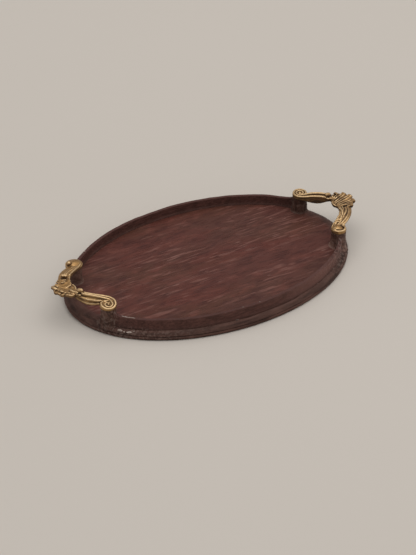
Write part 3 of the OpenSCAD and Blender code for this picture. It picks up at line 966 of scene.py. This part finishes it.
def handle_shape(crisp):
    """Vertices (mm), faces, patina with painted shade, and painted highlights of one casting."""
    step = 0.075
    low = np.array([-2.3, -10.7, -0.95])
    high = np.array([9.5, 10.7, 2.75])
    axes = [np.arange(low[i], high[i] + step, step) for i in range(3)]
    smooth, rough = casting_field(axes, crisp)
    field = smooth + rough
    verts, faces = surface_net(field, low, step)
    grad = np.stack(np.gradient(field, step), -1)
    bend = sum(np.gradient(g, step, axis=i) for i, g in enumerate(np.gradient(smooth, step)))

    def sample(array, points):
        cell = (points - low) / step
        base = np.clip(np.floor(cell).astype(int), 0, np.array(array.shape[:3]) - 2)
        part = np.clip(cell - base, 0, 1).T
        return trilinear(part, lambda i, j, k: array[base[:, 0] + i, base[:, 1] + j, base[:, 2] + k].T).T

    normal = sample(grad, verts)
    normal /= np.linalg.norm(normal, axis=1)[:, None] + 1e-9
    shade = np.zeros(len(verts))
    for reach, weight in ((0.16, 0.35), (0.32, 0.35), (0.6, 0.3)):
        shade += weight * np.clip(1 - sample(field, verts + normal * reach) / reach, 0, 1)
    x, y, z = verts.T
    facing = normal[:, 2]
    # painted shade: walls turned to the tray, and whatever hangs low, are darkened
    scroll = np.hypot(x, np.abs(y) - POST_Y)
    inward = -(normal[:, 0] * (x + 1) + normal[:, 1] * y) / np.hypot(x + 1, y)
    wall = ease(0.6, 0.25, facing)
    tray_wall_shade = wall * ease(0.0, 0.4, inward) * ease(1.3, 0.95, z) * ease(1.7, 2.2, scroll)
    underside_shade = ease(0.1, -0.35, facing) * ease(1.5, 1.1, z)
    drum_wall_shade = wall * ease(0.55, 0.15, z) * 0.75 * ease(2.3, 1.9, scroll)
    bend = sample(bend, verts)
    groove = 0.6 * ease(-0.8, -3.4, bend)
    depth = 0.88 if crisp else 0.72
    # the shell is browner in random patches, and the walls of its fingers get painted shade
    shell = ease(3.2, 4.6, x)
    mottle = shell * np.clip((0.34 if crisp else 0.24) + 0.36 * Noise(37)(*(verts.T * 1.5)), 0, 0.6)
    sides = shell * wall * (0.9 if crisp else 0.45)
    # patina in the hollows plus painted shade: closed-in places, grooves, walls turned to the tray or
    # sideways, low scroll walls and undersides are darkened
    recess = depth * (ease(0.1, 0.45, shade) + groove) + 0.95 * tray_wall_shade + underside_shade + drum_wall_shade + mottle + sides
    recess = np.clip(recess, 0, 1.6)
    # painted highlight on ridges that face up
    crest = 0.85 * ease(1.6, 3.6, bend) * ease(0.0, 0.55, facing)
    # painted highlight: the highest places, where they face up, are made bright
    crest = crest + 0.75 * ease(2.02, 2.3, z) * ease(0.45, 0.85, facing)
    crest = np.clip(crest, 0, 1) * np.clip(1 - recess, 0, 1)
    return verts, faces, recess, crest


def make_handle(name, node, turn, shape, material):
    verts, faces, recess, crest = shape
    verts = verts + [POST_X, 0, POST_TOP]
    pegs, peg_faces, start = [], [], len(verts)
    count = 32
    cos, sin = circle(count)
    top = POST_TOP + 0.3
    profile = [(0.0, PEG_FLOOR), (PEG_R - 0.1, PEG_FLOOR), (PEG_R, PEG_FLOOR + 0.1), (PEG_R, top), (0.0, top)]
    for side in (-1, 1):
        rings = [np.stack([POST_X + r * cos, side * POST_Y + r * sin, z + 0 * cos], 1) for r, z in profile]
        pegs.append(np.concatenate(rings))
        peg_faces.append(ring_faces(len(profile), count) + start)
        start += len(pegs[-1])
    verts = np.concatenate([verts] + pegs)
    extra = np.zeros(start - len(recess))
    recess, crest = np.concatenate([recess, extra]), np.concatenate([crest, extra])
    if turn:
        verts = verts * [-1, -1, 1]
    mesh = new_mesh(name, verts, np.concatenate([faces] + peg_faces))
    set_attributes(mesh, recess=recess, crest=crest)
    return add_piece(name, mesh, material, "cast_brass", node)


# ---- beads of varnish
def add_bead(bm, noise, x, y, z, length, width, height):
    """One low rounded bead lying along the edge of the tray."""
    spin = math.atan2(x / HALF_X ** 2, -y / HALF_Y ** 2)
    c, s = math.cos(spin), math.sin(spin)
    for v in bmesh.ops.create_icosphere(bm, subdivisions=3, radius=1.0)["verts"]:
        p = np.array(v.co)
        p = p * (1 + 0.25 * float(noise(p[0] * 1.4 + x, p[1] * 1.4 + y, p[2] + 9)))
        px, py = p[0] * length, p[1] * width
        v.co = Vector((x + px * c - py * s, y + px * s + py * c, z + p[2] * height)) * MM


def make_beads(name, places, material, slot):
    noise = Noise(29)
    bm = bmesh.new()
    for place in places:
        add_bead(bm, noise, *place)
    mesh = bpy.data.meshes.new(name)
    for face in bm.faces:
        face.smooth = True
    bm.to_mesh(mesh)
    bm.free()
    return add_piece(name, mesh, material, slot)


def foot_beads():
    """Small dried beads left along the foot of the strips."""
    rng = np.random.RandomState(8)
    places = []
    for turn in (-1, 1):
        mid = GALLERY_INSET - 0.3
        for _ in range(9):
            c, s = turn * direction(rng.uniform(30, 150))
            x, y = (HALF_X - mid) * c, (HALF_Y - mid) * s
            size = rng.uniform(0.12, 0.24)
            places.append((x, y, float(board_height(x, y)), size * rng.uniform(0.8, 2.2), size, size * 0.45))
    return places


def crown_beads():
    """Two blobs and two drops on the edge beside the front left post, pale partly from their own varnish and
    partly as painted highlights.
    """
    spots = [(-28.2, -11.9, 0.62, 0.34), (-27.6, -12.7, 0.22, 0.16), (-26.8, -13.4, 0.62, 0.36),
        (-25.9, -13.9, 0.2, 0.14)]
    return [(x, y, float(board_height(x, y)) - 0.02, length, width, 0.17) for x, y, length, width in spots]


def rail_glints():
    """Thin shiny runs of varnish on top of the strips, by the left posts; their pale colour is a painted
    glint.
    """
    spots = [(-0.575, 0.85, 0.14), (-0.64, 0.8, 0.11), (0.757, 0.22, 0.12), (0.725, 0.14, 0.1),
        (-1.6, 0.25, 0.08), (-1.47, 0.35, 0.07)]
    mid = GALLERY_INSET + GALLERY_THICK / 2
    places = []
    for t, length, width in spots:
        x, y = -(HALF_X - mid) * math.cos(t), (HALF_Y - mid) * math.sin(t)
        places.append((x, y, GALLERY_TOP - 0.04, length, width, 0.1))
    return places


# ---- build
wood = board_material()
gallery_wood = dark_wood_material("gallery_dark_wood", (0.128, 0.056, 0.045), (0.08, 0.033, 0.0268),
    (0.195, 0.092, 0.076), 0)
post_wood = dark_wood_material("post_dark_wood", (0.112, 0.055, 0.041), (0.11, 0.062, 0.046),
    (0.205, 0.112, 0.086), 2)
brass = brass_material()
make_board(wood)
make_gallery("rim_back", "gallery_back", False, 21, gallery_wood)
make_gallery("rim_front", "gallery_front", True, 22, gallery_wood)
for index, node in enumerate(("post_front_left", "post_front_right", "post_back_left", "post_back_right")):
    make_post(node.replace("post", "pillar"), node, 50 + index, post_wood)
make_handle("casting_right", "handle_right", False, handle_shape(True), brass)
make_handle("casting_left", "handle_left", True, handle_shape(False), brass)
dark_beads = varnish_material("varnish_dark", (0.058, 0.03, 0.024), (0.15, 0.092, 0.07))
# pale varnish: painted highlights on the blobs by the front left post and painted glints on the rails
glint_beads = varnish_material("varnish_glint", (0.17, 0.11, 0.088), (0.46, 0.37, 0.32))
make_beads("beads_by_strips", foot_beads(), dark_beads, "board_wood")
make_beads("beads_on_edge", crown_beads(), glint_beads, "board_wood")
make_beads("beads_on_rails", rail_glints(), glint_beads, "gallery_wood")


# ---- floor, light, camera
def floor_material():
    n = Nodes("pale_paper")
    tone = n.noise(0.006, 2, 0.5)
    n.put("Base Color", n.mix(tone, (0.6, 0.552, 0.498), (0.625, 0.575, 0.522)))
    n.put("Roughness", 0.9)
    n.put("Specular IOR Level", 0.2)
    return n.material


bm = bmesh.new()
bmesh.ops.create_grid(bm, x_segments=2, y_segments=2, size=3.0)
ground_mesh = bpy.data.meshes.new("ground")
bm.to_mesh(ground_mesh)
bm.free()
ground = add_object("ground", ground_mesh)
ground.data.materials.append(floor_material())


def area_light(name, place, size, energy, colour=(1, 1, 1)):
    data = bpy.data.lights.new(name, "AREA")
    data.shape = "DISK"
    data.size = size
    data.energy = energy
    data.color = colour
    lamp = add_object(name, data)
    lamp.location = place
    lamp.rotation_mode = "QUATERNION"
    lamp.rotation_quaternion = (-Vector(place)).to_track_quat("-Z", "Y")


area_light("soft_top", (0.06, 0.03, 0.6), 0.9, 2.33, (1.0, 0.99, 0.98))
area_light("soft_side", (0.72, -0.42, 0.48), 0.8, 0.9, (1.0, 0.985, 0.965))

world = bpy.data.worlds.new("studio")
bpy.context.scene.world = world
world.use_nodes = True
background = world.node_tree.nodes["Background"]
background.inputs["Color"].default_value = (1.0, 0.99, 0.975, 1)
background.inputs["Strength"].default_value = 0.44

camera_data = bpy.data.cameras.new("camera")
camera_data.lens = 123.7
camera_data.sensor_width = 36
camera_data.clip_start = 0.01
camera_data.clip_end = 10
camera = add_object("camera", camera_data)
azimuth, elevation = direction(-29.33), direction(35.49)
back = Vector((azimuth[1] * elevation[0], -azimuth[0] * elevation[0], elevation[1]))
right = Vector((*azimuth, 0))
up = back.cross(right)
camera_place = Vector((-0.17033, -0.30313, 0.24601))
camera_turn = Matrix((right, up, back)).transposed()
camera.matrix_world = Matrix.Translation(camera_place) @ camera_turn.to_4x4()
bpy.context.scene.camera = camera
bpy.context.scene.view_settings.view_transform = "Standard"

bpy.context.view_layer.update()
